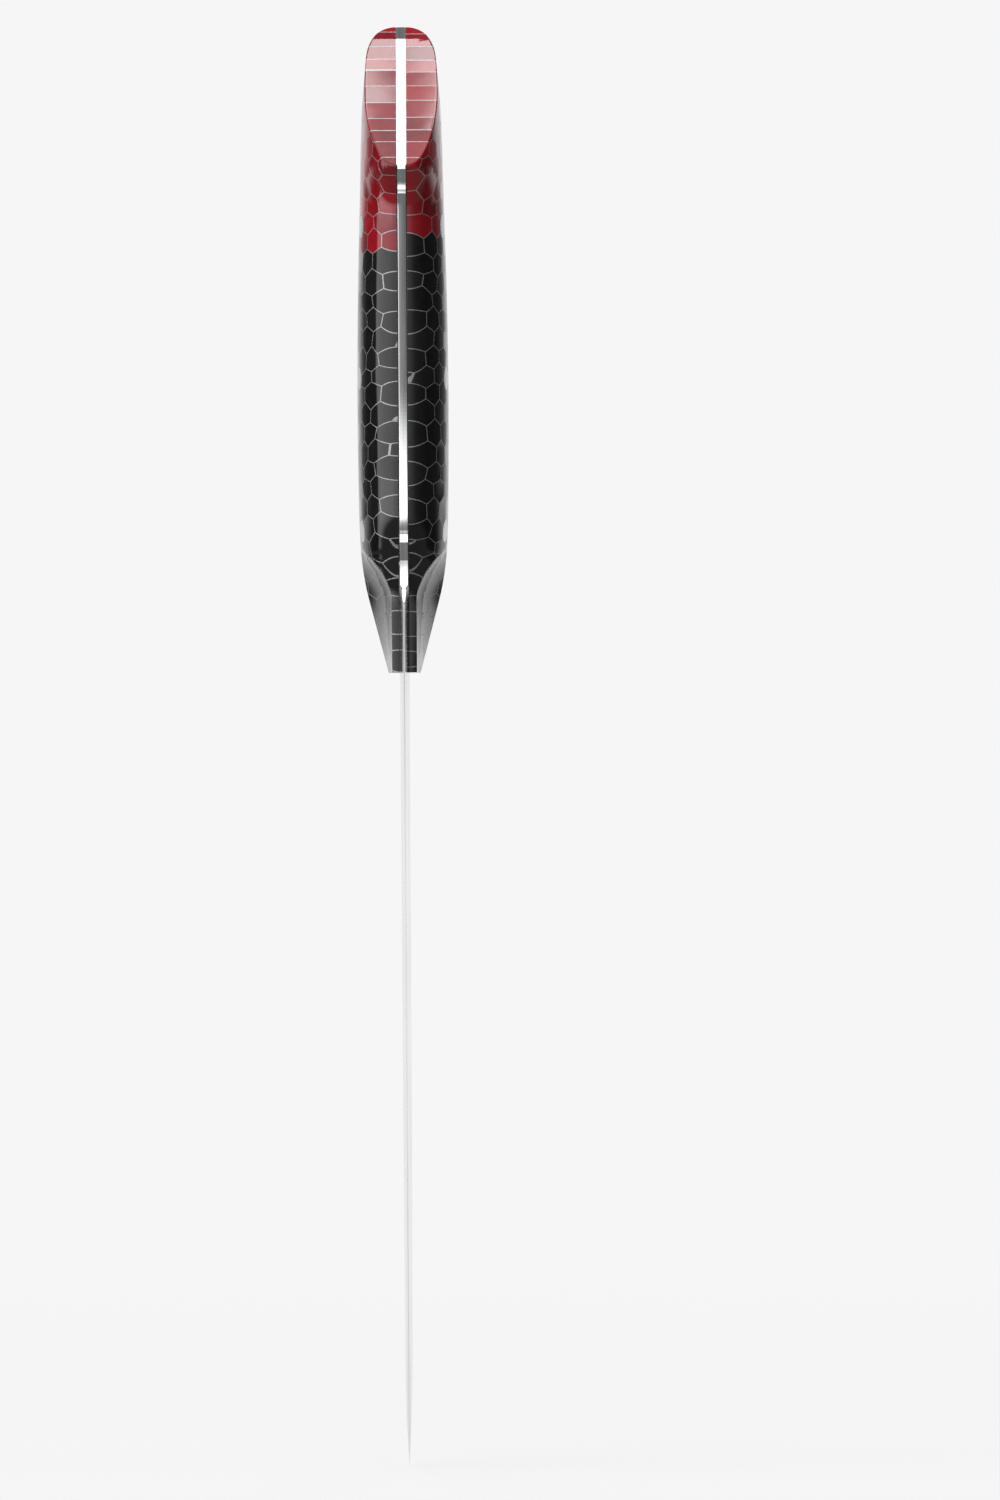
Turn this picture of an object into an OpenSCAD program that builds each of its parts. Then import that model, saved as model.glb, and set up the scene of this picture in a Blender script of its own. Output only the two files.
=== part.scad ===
// Chef's knife: full-tang steel blade, two scales of cast resin over an aluminium honeycomb core.
// +Z runs from the tip to the butt, -Y faces the cutting edge, X is the thickness.
// The origin is the middle pin's axis, half way through the tang.

/* [Blade] */
// Length of the blade in front of the scales
blade_len = 166.2; // [156:0.2:176]
// Depth of the blade at the heel
blade_depth = 45; // [43:0.5:48]
// Thickness of the steel
stock = 2; // [1.8:0.1:2.4]
// Loss of half thickness for each millimetre towards the tip
distal_taper = 0.0008; // [0.0004:0.0001:0.0012]

/* [Handle] */
// Length of the scales
handle_len = 137.4; // [132:0.2:143]
// Widest part of the grip, across both scales
grip_width = 19.3; // [18:0.1:20.5]
// Deepest part of the grip, spine to belly
grip_depth = 22.9; // [22:0.1:24]
// Slope of the flat facet cut across the butt, in degrees from the handle's axis
butt_slope = 40; // [39:0.5:41]

/* [Pins and bond] */
// Pin diameter
pin_d = 5; // [4:0.5:6]
// Clearance round each pin
pin_gap = 0.02; // [0.01:0.01:0.05]
// Distance between neighbouring pins
pin_pitch = 32; // [28:0.5:34]
// Thickness of the glue film under each scale
bond = 0.1; // [0.05:0.01:0.2]

/* [Honeycomb] */
// Distance between the middles of neighbouring cells
cell_pitch = 4.6; // [4.4:0.1:6]
// Thickness of a foil wall
foil_wall = 0.2; // [0.2:0.01:0.35]
// How far the cells are pulled out of true, as a share of the pitch
unevenness = 0.28; // [0:0.02:0.28]

/* [Hidden] */
steel = "#c4c7ca";
red = "#9c1220";
black = "#17181b";
foil = "#d5d8da";
glue = "#8a8f86";

// Places along the knife are distances u from the front of the scales, and h below the spine line.
pin_u = 62 * handle_len / 137.4;
spine_y = 11.5;
inner_x = stock / 2 + bond;
widest_h = 6.2;
facet_end = 25.5;
hook_u = 105.6;
hook_h = 27.5;
butt_u = 137.4;
corner_inset = 0.2;
lip_u = 134.4;
lip_slope = 46.5;
far = 60;

// Section shape.
arc_steps = 6;
top_steps = 8;
ring = 2 * arc_steps + top_steps + 1;
round_power = 2;
full_turn = 66;
scoop = 0.45;

// Grind: loss of half thickness for each millimetre of depth, and the lie of the ground steel.
grind = 0.0191;
tip_thick = 0.06;
tip_slope = 0.044;
plunge_gap = 0.7;
plunge_h = 17;
plunge_u = 14.5;
plunge_end_h = 27;
plunge_end_u = 18;
overrun = 5;
cut_deep = 3;

// Choil: where it starts under the handle, where it meets the heel, and its two pulls in [y, z].
choil_u = 23.4;
heel_t = 180.3;
choil_pull = [-3, -5.5];
heel_pull = [15, 1.8];

// First row of red cells, and the pattern of the pulled cells, for each side.
left_row = 7;
right_row = 8;
left_seed = 55;
right_seed = 54;

// Outline points: [u, value], on a nominal handle 137.4 long, 22.9 deep and 19.3 wide.
belly_pts = [[-1, 17], [13, 17], [20, 18.1], [26, 20.4], [33, 22.3], [43, 22.9], [60, 22.6], [78, 22],
             [91, 22], [97.5, 22.5], [102.2, 24.5], [hook_u, hook_h], [butt_u, hook_h]];
spine_pts = [[-1, 0], [128, 0], [133, 0.1], [butt_u, 0.35]];
half_pts = [[-1, 3.1], [0, 3.36], [6, 4.95], [12, 6.5], [18.3, 8.1], [24.6, 9], [31, 9.36], [42, 9.54],
            [58, 9.65], [78, 9.45], [99, 8.9], [118, 8.42], [126, 7.75], [133, 7.1], [butt_u, 6.65]];
ridge_pts = [[-1, 2.6], [15.5, 2.6], [20.4, 4.2], [23.5, 6.4], [facet_end, 8.4]];
ridge_h_pts = [[-1, 16.7], [15.5, 16.9], [20.4, 17.1], [23.5, 15.9], [facet_end, 11.8]];
stations = [0, 3, 6, 9, 12, 14, 16, 18, 20, 22, 24, facet_end, 28, 31, 34, 38, 42, 48, 54, 60, 66, 72, 78,
            84, 90, 94, 96.5, 98.5, 100.5, 102.2, 104, hook_u, 110, 114, 118, 122, 126, 130, 133, butt_u];

// Blade outline points: [distance from the tip, h], on a nominal blade 166.2 long and 45 deep.
back_pts = [[0, 14], [3, 12], [8, 9.6], [16, 6.9], [30, 4.1], [45, 2.6], [60, 1.7], [90, 0.8], [120, 0.3],
            [150, 0.05], [166.2, 0]];
edge_pts = [[0, 14], [3, 18.6], [10, 24.6], [20, 29.6], [30, 33.2], [45, 37.2], [60, 40.1], [80, 42.5],
            [100, 43.8], [120, 44.6], [140, 45], [180.3, 45]];

// A smooth curve through a list of points, with no overshoot.
function slope(p, i) = (p[i + 1][1] - p[i][1]) / (p[i + 1][0] - p[i][0]);
function tangent(p, i) =
    i == 0 ? slope(p, 0) :
    i == len(p) - 1 ? slope(p, i - 1) :
    slope(p, i - 1) * slope(p, i) <= 0 ? 0 : 2 * slope(p, i - 1) * slope(p, i) / (slope(p, i - 1) + slope(p, i));
function span(p, u, i = 0) = i >= len(p) - 2 || u < p[i + 1][0] ? i : span(p, u, i + 1);
function hermite(a, b, ta, tb, w, s) =
    a * (1 + 2 * s) * pow(1 - s, 2) + b * s * s * (3 - 2 * s)
    + w * (ta * s * pow(1 - s, 2) - tb * s * s * (1 - s));
function on_span(p, u, i) =
    hermite(p[i][1], p[i + 1][1], tangent(p, i), tangent(p, i + 1), p[i + 1][0] - p[i][0],
            (u - p[i][0]) / (p[i + 1][0] - p[i][0]));
function curve(p, u) = on_span(p, u, span(p, u));

// Nominal sizes turned into this knife's sizes.
depth_k = grip_depth / 22.9;
width_k = grip_width / 19.3;
length_k = handle_len / 137.4;
blade_k = blade_len / 166.2;
blade_h_k = blade_depth / 45;
function handle_z(u) = u * length_k - pin_u;
function blade_z(t) = (t - 166.2) * blade_k - pin_u;
function to_y(h) = spine_y - h;

// One scale's section as a ring of [x, h]: belly to ridge, ridge to widest, widest to spine.
function ridge_angle(w, x) = asin((x - inner_x) / (w - inner_x));
function belly_arc(w, b, x, h, turn) = [
    for (k = [0 : arc_steps - 1]) let (a = turn * k / arc_steps)
        [inner_x + (x - inner_x) * sin(a) / sin(turn), b - (b - h) * (1 - cos(a)) / (1 - cos(turn))]
];
function side_arc(w, b, wide, x, h, turn, scooped) = [
    for (k = [0 : arc_steps - 1]) let (f = k / arc_steps, a = turn + (90 - turn) * f)
        scooped ? [x + (w - x) * f * (scoop + (1 - scoop) * f), h + (wide - h) * f]
                : [inner_x + (w - inner_x) * sin(a), wide + (b - wide) * cos(a)]
];
function top_arc(w, s, wide) = [
    for (k = [0 : top_steps]) let (a = 90 - 90 * k / top_steps)
        [inner_x + (w - inner_x) * pow(sin(a), 2 / round_power), wide + (s - wide) * pow(cos(a), 2 / round_power)]
];
function section(w, b, s, wide, x, h, scooped) =
    let (turn = ridge_angle(w, x))
    concat(belly_arc(w, b, x, h, turn), side_arc(w, b, wide, x, h, turn, scooped), top_arc(w, s, wide));

function round_section(w, b, s, wide) =
    section(w, b, s, wide, inner_x + (w - inner_x) * sin(full_turn), wide + (b - wide) * cos(full_turn), false);
function half_w(u) = curve(half_pts, u) * width_k;
function belly(u) = curve(belly_pts, u) * depth_k;
function spine(u) = curve(spine_pts, u);
function handle_section(u) =
    u < facet_end
        ? section(half_w(u), belly(u), spine(u), widest_h * depth_k,
                  curve(ridge_pts, u) * width_k, curve(ridge_h_pts, u) * depth_k, true)
        : round_section(half_w(u), belly(u), spine(u), widest_h * depth_k);

function place(points, side, z) = [for (p = points) [side * p[0], to_y(p[1]), z]];
function scale_points(side) = [for (u = stations) each place(handle_section(u), side, handle_z(u))];

// Skin of a solid from rings of points, one ring after another.
function skin(rings, n) = concat(
    [for (i = [0 : rings - 2], k = [0 : n - 1]) [i * n + k, i * n + (k + 1) % n, (i + 1) * n + (k + 1) % n]],
    [for (i = [0 : rings - 2], k = [0 : n - 1]) [i * n + k, (i + 1) * n + (k + 1) % n, (i + 1) * n + k]],
    [[for (k = [n - 1 : -1 : 0]) k], [for (k = [0 : n - 1]) (rings - 1) * n + k]]
);
function turned(faces) = [for (f = faces) [for (i = [len(f) - 1 : -1 : 0]) f[i]]];

// A plane cut across the butt, through a place on the outline and leaning over the end of the handle.
module slope_cut(u, h, lean) {
    translate([0, to_y(h), handle_z(u)])
        rotate([90 - lean, 0, 0])
            translate([-far / 2, -far, 0])
                cube([far, 2 * far, far]);
}

// The butt facet starts just inside the hook's corner; a steeper lip follows it at the spine.
corner_h = (hook_h - corner_inset) * depth_k;
module butt_cut() {
    slope_cut(hook_u, corner_h, butt_slope);
    slope_cut(lip_u, corner_h - (lip_u - hook_u) * length_k * tan(butt_slope), lip_slope);
}

module scale_blank(side) {
    faces = skin(len(stations), ring);
    difference() {
        polyhedron(scale_points(side), side < 0 ? faces : turned(faces));
        butt_cut();
    }
}

module pin_holes() {
    for (k = [-1 : 1])
        translate([-far / 2, 0, k * pin_pitch])
            rotate([0, 90, 0])
                cylinder(d = pin_d + 2 * pin_gap, h = far, $fn = 48);
}

// The honeycomb: uneven hexagonal cells, prisms along X, on a lattice of pulled middles.
function chance(i, j, k) = let (v = sin(i * 127.1 + j * 311.7 + k * 74.7) * 43758.5453) v - floor(v);
function row_odd(j) = abs(j) % 2;
function middle(i, j, seed) = [
    cell_pitch * (i + row_odd(j) / 2 + unevenness * (2 * chance(i, j, seed) - 1)),
    cell_pitch * sin(60) * j + cell_pitch * unevenness * (2 * chance(i, j, seed + 5) - 1)
];
function neighbours(i, j) =
    let (p = row_odd(j))
    [[i + 1, j], [i + p, j + 1], [i + p - 1, j + 1], [i - 1, j], [i + p - 1, j - 1], [i + p, j - 1]];
function corner(i, j, k, seed) =
    let (n = neighbours(i, j), a = n[k % 6], b = n[(k + 1) % 6])
    (middle(i, j, seed) + middle(a[0], a[1], seed) + middle(b[0], b[1], seed)) / 3;
function cell(i, j, seed) = [for (k = [0 : 5]) corner(i, j, k, seed)];
function inset(points) =
    let (c = (points[0] + points[1] + points[2] + points[3] + points[4] + points[5]) / 6)
    [for (p = points) c + (p - c) * (1 - foil_wall / cell_pitch)];

low_row = floor(handle_z(0) / (cell_pitch * sin(60))) - 1;
high_row = ceil(handle_z(handle_len) / (cell_pitch * sin(60))) + 1;
low_cell = floor(to_y(hook_h + 4) / cell_pitch);
high_cell = ceil(spine_y / cell_pitch) + 1;

// Stands a drawing made in Y and Z up on the side of the tang.
module stand(side) {
    translate([side > 0 ? 0 : -far / 2, 0, 0])
        rotate([90, 0, 90])
            linear_extrude(height = far / 2)
                children();
}

module net_outline(seed) {
    difference() {
        translate([to_y(hook_h + 1), handle_z(-2)])
            square([hook_h + 2, handle_len + 6]);
        for (j = [low_row : high_row], i = [low_cell : high_cell])
            polygon(inset(cell(i, j, seed)));
    }
}

// Everything on the butt's side of the zigzag between one row of cells and the next.
module butt_side(row, seed) {
    path = [for (i = [low_cell : high_cell], k = [3, 4]) corner(i, row, k, seed)];
    polygon(concat(path, [[far, far * 2], [-far, far * 2]]));
}

module foil_core(side, seed) {
    color(foil)
        difference() {
            intersection() {
                scale_blank(side);
                stand(side)
                    net_outline(seed);
            }
            pin_holes();
        }
}

module red_resin(side, row, seed) {
    color(red, 0.7)
        difference() {
            intersection() {
                scale_blank(side);
                stand(side)
                    butt_side(row, seed);
            }
            pin_holes();
        }
}

module black_resin(side, row, seed) {
    color(black, 0.7)
        difference() {
            scale_blank(side);
            stand(side)
                butt_side(row, seed);
            pin_holes();
        }
}

// The tang's outline, which the scales follow.
function tang_back() = [for (u = stations) [to_y(spine(u)), handle_z(u)]];
function tang_belly(from) = [
    for (i = [len(stations) - 1 : -1 : 0]) let (u = stations[i])
        if (u > from) [to_y(belly(u)), handle_z(u)]
];

module bond_film(side) {
    color(glue)
        difference() {
            translate([side > 0 ? stock / 2 : -inner_x, 0, 0])
                rotate([90, 0, 90])
                    linear_extrude(height = bond)
                        polygon(concat(tang_back(), tang_belly(-1)));
            butt_cut();
            pin_holes();
        }
}

// Blade and tang.
function blade_h(p, t) = curve(p, t) * blade_h_k;
function bezier(a, b, c, d, s) =
    a * pow(1 - s, 3) + b * 3 * s * pow(1 - s, 2) + c * 3 * s * s * (1 - s) + d * pow(s, 3);
function choil() =
    let (a = [to_y(belly(choil_u)), handle_z(choil_u)], d = [to_y(blade_h(edge_pts, heel_t)), blade_z(heel_t)])
    [for (s = [0 : 0.1 : 1]) bezier(a, a + choil_pull, d + heel_pull, d, s)];
edge_steps = [180.3, 150, 140, 130, 120, 110, 100, 90, 80, 70, 60, 52, 45, 37, 30, 25, 20, 15, 10, 7, 4, 2];
back_steps = [0, 2, 4, 6, 9, 12, 16, 20, 25, 30, 37, 45, 52, 60, 75, 90, 105, 120, 135, 150];
function edge_line() = [for (t = edge_steps) [to_y(blade_h(edge_pts, t)), blade_z(t)]];
function back_line() = [for (t = back_steps) [to_y(blade_h(back_pts, t)), blade_z(t)]];

module outline_plate() {
    translate([-stock / 2, 0, 0])
        rotate([90, 0, 90])
            linear_extrude(height = stock)
                polygon(concat(back_line(), tang_back(), tang_belly(choil_u), choil(), edge_line()));
}

// Where the steel is ground: everything that the scales don't cover.
module ground_area(side) {
    translate([side > 0 ? 0 : -stock, 0, 0])
        rotate([90, 0, 90])
            linear_extrude(height = stock)
                polygon([
                    [spine_y + overrun, blade_z(-overrun)],
                    [spine_y + overrun, handle_z(-plunge_gap)],
                    [to_y(plunge_h * depth_k + plunge_gap), handle_z(-plunge_gap)],
                    [to_y(plunge_h * depth_k + plunge_gap), handle_z(plunge_u)],
                    [to_y(plunge_end_h), handle_z(plunge_end_u)],
                    [to_y(plunge_end_h), blade_z(heel_t) + overrun],
                    [to_y(far), blade_z(heel_t) + overrun],
                    [to_y(far), blade_z(-overrun)]
                ]);
}

// Half-space outside a grind plane that starts at the spine line and leans in towards the edge.
module grind_plane(side, at, h_loss, t_loss) {
    mirror([side > 0 ? 0 : 1, 0, 0])
        translate(at)
            rotate([0, atan(t_loss), -atan(h_loss)])
                translate([0, -4 * far, -6 * far])
                    cube([cut_deep, 8 * far, 12 * far]);
}

module blade() {
    color(steel)
        difference() {
            outline_plate();
            for (side = [-1, 1])
                intersection() {
                    ground_area(side);
                    union() {
                        grind_plane(side, [stock / 2, spine_y, handle_z(0)], grind, distal_taper);
                        grind_plane(side, [tip_thick, 0, blade_z(0)], 0, tip_slope);
                    }
                }
            butt_cut();
            pin_holes();
        }
}

module pin(k) {
    at = k * pin_pitch;
    color(steel)
        intersection() {
            translate([-far / 2, 0, at])
                rotate([0, 90, 0])
                    cylinder(d = pin_d, h = far, $fn = 48);
            union() {
                translate([-inner_x - 0.01, -pin_d, at - pin_d])
                    cube([2 * inner_x + 0.02, 2 * pin_d, 2 * pin_d]);
                scale_blank(-1);
                scale_blank(1);
            }
        }
}

blade();
black_resin(-1, left_row, left_seed);  // left_black_resin
red_resin(-1, left_row, left_seed);  // left_red_resin
foil_core(-1, left_seed);  // left_foil
bond_film(-1);  // left_bond
black_resin(1, right_row, right_seed);  // right_black_resin
red_resin(1, right_row, right_seed);  // right_red_resin
foil_core(1, right_seed);  // right_foil
bond_film(1);  // right_bond
pin(-1);  // pin_front
pin(0);  // pin_middle
pin(1);  // pin_rear
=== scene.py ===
import bpy
import bmesh
import numpy as np
from math import sin, cos, tan, asin, radians, pi, floor
from mathutils import Vector, Matrix
from mathutils.bvhtree import BVHTree


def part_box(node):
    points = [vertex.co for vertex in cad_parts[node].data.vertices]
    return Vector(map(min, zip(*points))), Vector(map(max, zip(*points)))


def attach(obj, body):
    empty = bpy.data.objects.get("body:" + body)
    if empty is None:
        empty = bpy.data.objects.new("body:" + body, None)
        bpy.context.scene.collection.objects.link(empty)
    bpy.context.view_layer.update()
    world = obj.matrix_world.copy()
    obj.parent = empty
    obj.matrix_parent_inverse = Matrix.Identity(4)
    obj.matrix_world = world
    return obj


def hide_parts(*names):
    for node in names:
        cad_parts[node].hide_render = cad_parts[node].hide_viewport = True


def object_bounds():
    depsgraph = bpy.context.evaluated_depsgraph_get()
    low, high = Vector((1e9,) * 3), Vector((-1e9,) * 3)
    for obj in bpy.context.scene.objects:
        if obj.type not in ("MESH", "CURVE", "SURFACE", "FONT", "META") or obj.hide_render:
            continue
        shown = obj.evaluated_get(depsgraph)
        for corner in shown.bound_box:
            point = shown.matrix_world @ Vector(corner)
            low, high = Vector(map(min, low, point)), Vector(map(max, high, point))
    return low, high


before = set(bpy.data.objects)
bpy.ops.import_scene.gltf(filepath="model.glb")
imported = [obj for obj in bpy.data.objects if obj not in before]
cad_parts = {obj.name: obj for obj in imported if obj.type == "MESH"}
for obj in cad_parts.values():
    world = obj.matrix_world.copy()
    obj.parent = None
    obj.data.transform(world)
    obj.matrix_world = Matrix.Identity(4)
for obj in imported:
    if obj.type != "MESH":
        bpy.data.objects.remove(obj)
cadLow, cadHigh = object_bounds()
mm = 0.001

# places that everything is worked out from, in millimetres
bladeLow, bladeHigh = (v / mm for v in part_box("blade"))
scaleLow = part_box("right_black_resin")[0] / mm
pinLow, pinHigh = (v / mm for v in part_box("pin_middle"))
pinNext = (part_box("pin_rear")[0].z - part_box("pin_middle")[0].z) / mm
places = {
    "spine": bladeHigh.y,
    "halfSteel": bladeHigh.x,
    "inner": scaleLow.x,          # where a scale's flat side starts
    "front": scaleLow.z,          # front end of the scales
    "pinRadius": (pinHigh.z - pinLow.z) / 2,
    "pinPitch": pinNext,
}
print("frame loaded, knife is", round(bladeHigh.z - bladeLow.z, 1), "mm long")


handle = {
    "belly": [(-1, 17), (13, 17), (20, 18.1), (26, 20.4), (33, 22.3), (43, 22.9), (60, 22.6), (78, 22),
              (91, 22), (97.5, 22.5), (102.2, 24.5), (105.6, 27.5), (139, 27.5)],
    "spine": [(-1, 0), (128, 0), (133, 0.1), (139, 0.5)],
    "half": [(-1, 3.1), (0, 3.36), (6, 4.95), (12, 6.5), (18.3, 8.1), (24.6, 9), (31, 9.36), (42, 9.54),
             (58, 9.65), (78, 9.45), (99, 8.9), (118, 8.42), (126, 7.75), (133, 7.1), (139, 6.5)],
    "ridge": [(-1, 2.6), (15.5, 2.6), (20.4, 4.2), (23.5, 6.4), (25.5, 8.4)],
    "ridgeDepth": [(-1, 16.7), (15.5, 16.9), (20.4, 17.1), (23.5, 15.9), (25.5, 11.8)],
    "neckEnd": 25.5,
    "widest": 6.2,
    "scoop": 0.45,
    "neckFlat": 0.64,             # how far the smooth part of a scoop is levelled
    "neckFade": 1.5,
    "plainFrom": 12,             # below this depth the neck keeps its narrow flats
    "leastTilt": 0.11,
    "bellyTurn": 66,
    "topPower": 2.0,
    "buttCorner": (105.6, 27.3),
    "buttSlope": 40,
    "lips": [(134.4, 3.1, 46.5)],   # along, deep, tilt of each flat behind the facet
    "rim": 0.5,                                       # rounding round the butt facet
    "steps": (14, 14, 18),
}


def harmonicSlopes(points):
    runs = [(b[1] - a[1]) / (b[0] - a[0]) for a, b in zip(points, points[1:])]
    inner = [0 if a * b <= 0 else 2 * a * b / (a + b) for a, b in zip(runs, runs[1:])]
    return [runs[0]] + inner + [runs[-1]]


def smoothCurve(points, soft=1.2, step=0.25):
    # a curve through given points, then rounded a little so that gloss runs over it evenly
    slopes = harmonicSlopes(points)
    at = np.arange(points[0][0], points[-1][0] + step / 2, step)
    value = np.zeros_like(at)
    for i in range(len(points) - 1):
        (x0, y0), (x1, y1) = points[i], points[i + 1]
        part = (at >= x0 - 1e-9) & (at <= x1 + 1e-9)
        s = (at[part] - x0) / (x1 - x0)
        w = x1 - x0
        value[part] = (y0 * (1 + 2 * s) * (1 - s) ** 2 + y1 * s * s * (3 - 2 * s)
                       + w * (slopes[i] * s * (1 - s) ** 2 - slopes[i + 1] * s * s * (1 - s)))
    if soft > 0:
        reach = int(3 * soft / step)
        kernel = np.exp(-0.5 * (np.arange(-reach, reach + 1) * step / soft) ** 2)
        kernel /= kernel.sum()
        before = value[0] + (value[1] - value[0]) * np.arange(-reach, 0)
        after = value[-1] + (value[-1] - value[-2]) * np.arange(1, reach + 1)
        value = np.convolve(np.concatenate([before, value, after]), kernel, "valid")
    return lambda u: np.interp(u, at, value)


bellyAt = smoothCurve(handle["belly"], 0.8)
spineAt = smoothCurve(handle["spine"], 1.5)
halfAt = smoothCurve(handle["half"], 2.0)
ridgeAt = smoothCurve(handle["ridge"], 0.5)
ridgeDepthAt = smoothCurve(handle["ridgeDepth"], 0.5)


def sectionAt(u):
    # one scale's outline as rows of (x, depth): belly to ridge, ridge to widest, widest to spine
    bellySteps, sideSteps, topSteps = handle["steps"]
    inner, wide = places["inner"], handle["widest"]
    w, b, s = halfAt(u), bellyAt(u), spineAt(u)
    neck = u < handle["neckEnd"]
    full = radians(handle["bellyTurn"])
    ridgeX = ridgeAt(u) if neck else inner + (w - inner) * sin(full)
    ridgeH = ridgeDepthAt(u) if neck else wide + (b - wide) * cos(full)
    turn = asin((ridgeX - inner) / (w - inner))
    rows = []
    for k in range(bellySteps):
        a = turn * k / bellySteps
        rows.append((inner + (ridgeX - inner) * sin(a) / sin(turn),
                     b - (b - ridgeH) * (1 - cos(a)) / (1 - cos(turn))))
    for k in range(sideSteps):
        f = k / sideSteps
        a = turn + (pi / 2 - turn) * f
        if neck:
            scoop = handle["scoop"]
            out = f * (scoop + (1 - scoop) * f)
            rows.append((ridgeX + (w - ridgeX) * out, ridgeH + (wide - ridgeH) * f))
        else:
            rows.append((inner + (w - inner) * sin(a), wide + (b - wide) * cos(a)))
    for k in range(topSteps + 1):
        a = pi / 2 * (1 - k / topSteps)
        p = 2 / handle["topPower"]
        rows.append((inner + (w - inner) * max(sin(a), 0) ** p, wide + (s - wide) * max(cos(a), 0) ** p))
    return rows


def toPoint(x, h, u):
    return Vector((x, places["spine"] - h, places["front"] + u)) * mm


def meshFrom(name, points, faces):
    mesh = bpy.data.meshes.new(name)
    mesh.from_pydata([tuple(p) for p in points], [], faces)
    mesh.update()
    return mesh


def outward(mesh, merge=1e-7):
    work = bmesh.new()
    work.from_mesh(mesh)
    bmesh.ops.remove_doubles(work, verts=work.verts, dist=merge)
    bmesh.ops.recalc_face_normals(work, faces=work.faces)
    work.to_mesh(mesh)
    work.free()
    mesh.update()
    return mesh


def strips(rows, ring):
    # quads between one ring of points and the next
    faces = []
    for i in range(rows - 1):
        for k in range(ring):
            n = (k + 1) % ring
            faces.append((i * ring + k, i * ring + n, (i + 1) * ring + n, (i + 1) * ring + k))
    return faces


def newPiece(name, mesh):
    piece = bpy.data.objects.new(name, mesh)
    bpy.context.scene.collection.objects.link(piece)
    return piece


def takeMesh(obj):
    # the evaluated mesh, with its modifiers in it, and the object gone
    graph = bpy.context.evaluated_depsgraph_get()
    mesh = bpy.data.meshes.new_from_object(obj.evaluated_get(graph))
    bpy.data.objects.remove(obj)
    return mesh


def cutWith(mesh, tool, how):
    body = newPiece("cutBody", mesh)
    other = newPiece("cutTool", tool)
    change = body.modifiers.new("cut", "BOOLEAN")
    change.operation = how
    change.solver = "MANIFOLD"
    change.object = other
    made = takeMesh(body)
    bpy.data.objects.remove(other)
    return made


def roundBar(radius, low, high, centre, sides=96):
    # a bar along X, as a closed mesh
    points, faces = [], []
    for x in (low, high):
        for k in range(sides):
            a = 2 * pi * k / sides
            points.append(Vector((x, centre[1] + radius * cos(a), centre[2] + radius * sin(a))))
    faces += [(k, (k + 1) % sides, sides + (k + 1) % sides, sides + k) for k in range(sides)]
    faces += [tuple(range(sides - 1, -1, -1)), tuple(range(sides, 2 * sides))]
    return points, faces


holeGap = 0.00002
pinCentres = [Vector((0, 0, k * places["pinPitch"] * mm)) for k in (-1, 0, 1)]


def pinHoles(extra):
    points, faces = [], []
    for centre in pinCentres:
        more, quads = roundBar(places["pinRadius"] * mm + extra, -0.03, 0.03, centre)
        faces += [tuple(v + len(points) for v in f) for f in quads]
        points += more
    return outward(meshFrom("pinHoles", points, faces))


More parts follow.
